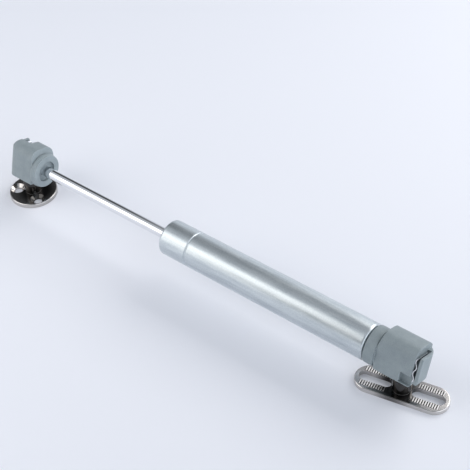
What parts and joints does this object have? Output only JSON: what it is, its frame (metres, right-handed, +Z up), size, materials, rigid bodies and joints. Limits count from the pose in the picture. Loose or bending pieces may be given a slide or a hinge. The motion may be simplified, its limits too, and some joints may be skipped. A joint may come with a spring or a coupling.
{
  "type": "gas spring",
  "caption": "Gas spring for a lid: steel cylinder with a sprung chromed rod, ball-socket heads at both ends, and a slotted and a round screw-on ball-stud plate.",
  "frame": {"origin": "middle of the slotted plate's underside, below the ball that the tube swings on", "axes": "+Z up out of the plates, X along the slotted plate's slots with +X towards the rod end, Y across"},
  "size_m": [0.2768, 0.0757, 0.0353],
  "materials": {
    "satin_steel": "satin ground tube",
    "chrome_rod": "hard chromed, ground",
    "nickel_plate": "polished nickel",
    "head_plastic": "cool grey, fine moulded grain",
    "spring_steel": "bright spring steel",
    "inner_steel": "plain turned steel",
    "guide_brass": "turned",
    "piston_alloy": "machined",
    "seal_rubber": "black nitrile rubber",
    "ring_plastic": "dark filled plastic"
  },
  "bodies": {
    "slotted_plate": {"slotted_plate": "nickel_plate"},
    "tube_end_stud": {"tube_end_ball_stud": "nickel_plate"},
    "tube": {"cylinder_tube": "satin_steel", "tube_end_plug": "inner_steel", "end_plug_o_ring": "seal_rubber", "seal_support_washer": "inner_steel", "rod_seal": "seal_rubber", "rod_guide": "guide_brass", "rod_wiper": "seal_rubber", "guide_end_washer": "inner_steel", "tube_end_head": "head_plastic"},
    "tube_end_clip": {"tube_end_clip": "spring_steel"},
    "piston_ring": {"piston_ring": "ring_plastic"},
    "rod": {"piston_rod": "chrome_rod", "rebound_bumper": "seal_rubber", "piston_front_washer": "inner_steel", "piston": "piston_alloy", "piston_back_washer": "inner_steel", "piston_nut": "inner_steel", "rod_end_head": "head_plastic"},
    "valve_disc": {"valve_disc": "spring_steel"},
    "rod_end_clip": {"rod_end_clip": "spring_steel"},
    "rod_end_stud": {"rod_end_ball_stud": "nickel_plate"},
    "round_plate": {"round_plate": "nickel_plate"}
  },
  "joints": [
    {"name": "tube_end_swing", "type": "hinge", "parent": "slotted_plate", "child": "tube_end_stud", "pos_m": [0, 0, 0.0228], "axis": [0, 0, 1], "continuous": true},
    {"name": "tube_end_tilt", "type": "hinge", "parent": "tube_end_stud", "child": "tube", "pos_m": [0, 0, 0.0228], "axis": [0.2062, 0.9785, 0], "range_deg": [-15, 15]},
    {"name": "gas_stroke", "type": "slide", "parent": "tube", "child": "piston_ring", "axis": [0.9785, -0.2062, 0], "range_m": [-0.08, 0], "stiffness_N_per_m": 250, "springref_m": 0.24},
    {"name": "rod_turn", "type": "hinge", "parent": "piston_ring", "child": "rod", "pos_m": [0.11449, -0.02413, 0.0228], "axis": [0.9785, -0.2062, 0], "continuous": true},
    {"name": "rod_end_tilt", "type": "hinge", "parent": "rod", "child": "rod_end_stud", "pos_m": [0.23993, -0.05056, 0.0228], "axis": [0.2062, 0.9785, 0], "range_deg": [-15, 15]},
    {"name": "rod_end_swing", "type": "hinge", "parent": "rod_end_stud", "child": "round_plate", "pos_m": [0.23993, -0.05056, 0.0228], "axis": [0, 0, 1], "continuous": true},
    {"name": "tube_end_clip_release", "type": "slide", "parent": "tube", "child": "tube_end_clip", "axis": [-0.9785, 0.2062, 0], "range_m": [0, 0.0005], "stiffness_N_per_m": 2000},
    {"name": "rod_end_clip_release", "type": "slide", "parent": "rod", "child": "rod_end_clip", "axis": [0.9785, -0.2062, 0], "range_m": [0, 0.0005], "stiffness_N_per_m": 2000},
    {"name": "valve_disc_lift", "type": "slide", "parent": "rod", "child": "valve_disc", "axis": [-0.9785, 0.2062, 0], "range_m": [0, 0.0003]}
  ]
}
